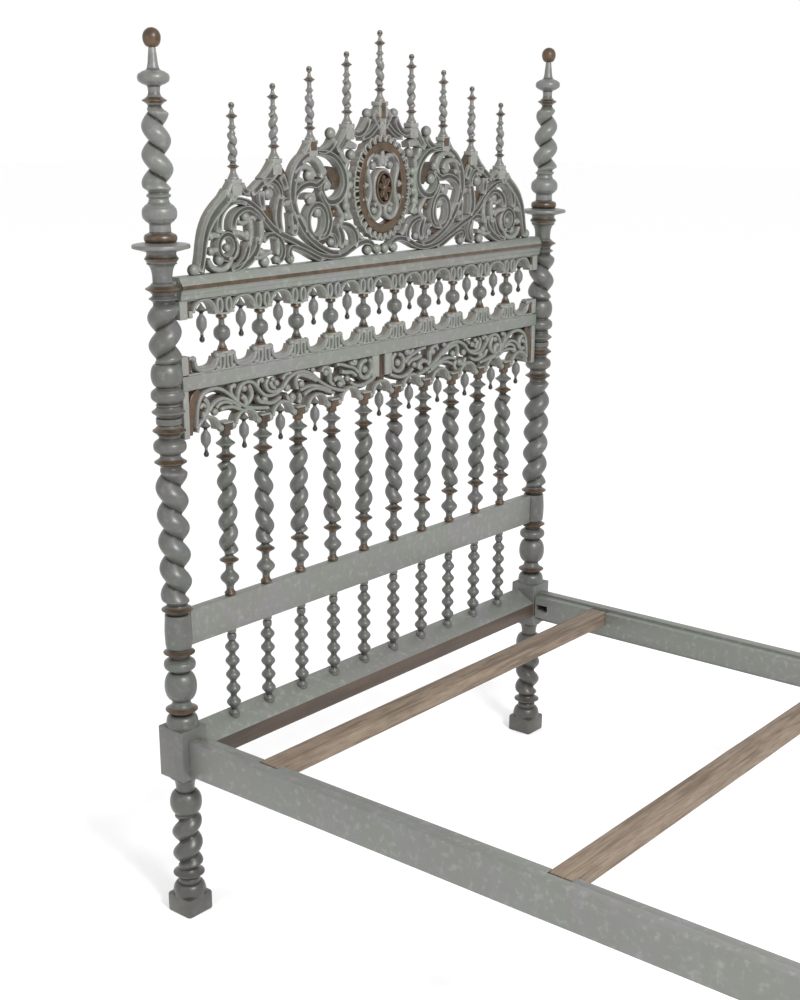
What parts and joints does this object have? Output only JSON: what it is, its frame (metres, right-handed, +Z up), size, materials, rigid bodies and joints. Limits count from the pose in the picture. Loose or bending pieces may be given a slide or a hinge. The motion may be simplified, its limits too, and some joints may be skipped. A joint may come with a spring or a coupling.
{
  "type": "spindle bed",
  "caption": "Bed with a tall headboard of rope-twist spindles under a pierced scroll crest, turned posts, side rails with ledgers, and loose slats.",
  "frame": {"origin": "on the floor, midway between the four posts", "axes": "+X to the right seen from the foot end, +Y towards the headboard, +Z up"},
  "size_m": [1.4886, 2.1086, 1.945],
  "materials": {
    "paint": "aged matt grey-green paint, worn, with lavender-grey and brown patches",
    "gilt": "rubbed copper-brown gilding on wood",
    "dark_bronze": "grey paint over dark bronze tips",
    "bare_wood": "bare sawn softwood, dull",
    "iron": "dark, slightly rusted"
  },
  "bodies": {
    "bed_frame": {"bed_bolts": "iron", "bobbin_spindles": "paint", "bolt_nuts": "iron", "crest_cap": "paint", "crest_medallion": "gilt", "crest_panel": "paint", "crest_rail": "paint", "crest_rosette": "paint", "finial_ball_left": "gilt", "finial_ball_right": "gilt", "finial_disc_left": "paint", "finial_disc_right": "paint", "finial_left": "paint", "finial_right": "paint", "foot_ball_left": "gilt", "foot_ball_right": "gilt", "foot_disc_left": "paint", "foot_disc_right": "paint", "foot_post_left": "paint", "foot_post_right": "paint", "foot_rail": "paint", "frieze_panel": "paint", "frieze_pendants": "dark_bronze", "gallery_balusters": "paint", "gallery_cresting": "paint", "gallery_pendants": "dark_bronze", "gallery_rail": "paint", "gallery_valance": "paint", "head_post_left": "paint", "head_post_right": "paint", "head_rail": "paint", "ledger_left": "paint", "ledger_right": "paint", "long_spindle_1": "paint", "long_spindle_10": "paint", "long_spindle_2": "paint", "long_spindle_3": "paint", "long_spindle_4": "paint", "long_spindle_5": "paint", "long_spindle_6": "paint", "long_spindle_7": "paint", "long_spindle_8": "paint", "long_spindle_9": "paint", "mid_rail": "paint", "side_rail_left": "paint", "side_rail_right": "paint", "spire_1": "paint", "spire_2": "paint", "spire_3": "paint", "spire_4": "paint", "spire_5": "paint", "spire_6": "paint", "spire_7": "paint", "spire_8": "paint", "spire_9": "paint"},
    "slat_1": {"slat_1": "bare_wood"},
    "slat_2": {"slat_2": "bare_wood"},
    "slat_3": {"slat_3": "bare_wood"}
  },
  "joints": [
    {"name": "slat_1_lift", "type": "slide", "parent": "bed_frame", "child": "slat_1", "axis": [0, 0, 1], "range_m": [0, 0.25]},
    {"name": "slat_2_lift", "type": "slide", "parent": "bed_frame", "child": "slat_2", "axis": [0, 0, 1], "range_m": [0, 0.25]},
    {"name": "slat_3_lift", "type": "slide", "parent": "bed_frame", "child": "slat_3", "axis": [0, 0, 1], "range_m": [0, 0.25]}
  ]
}
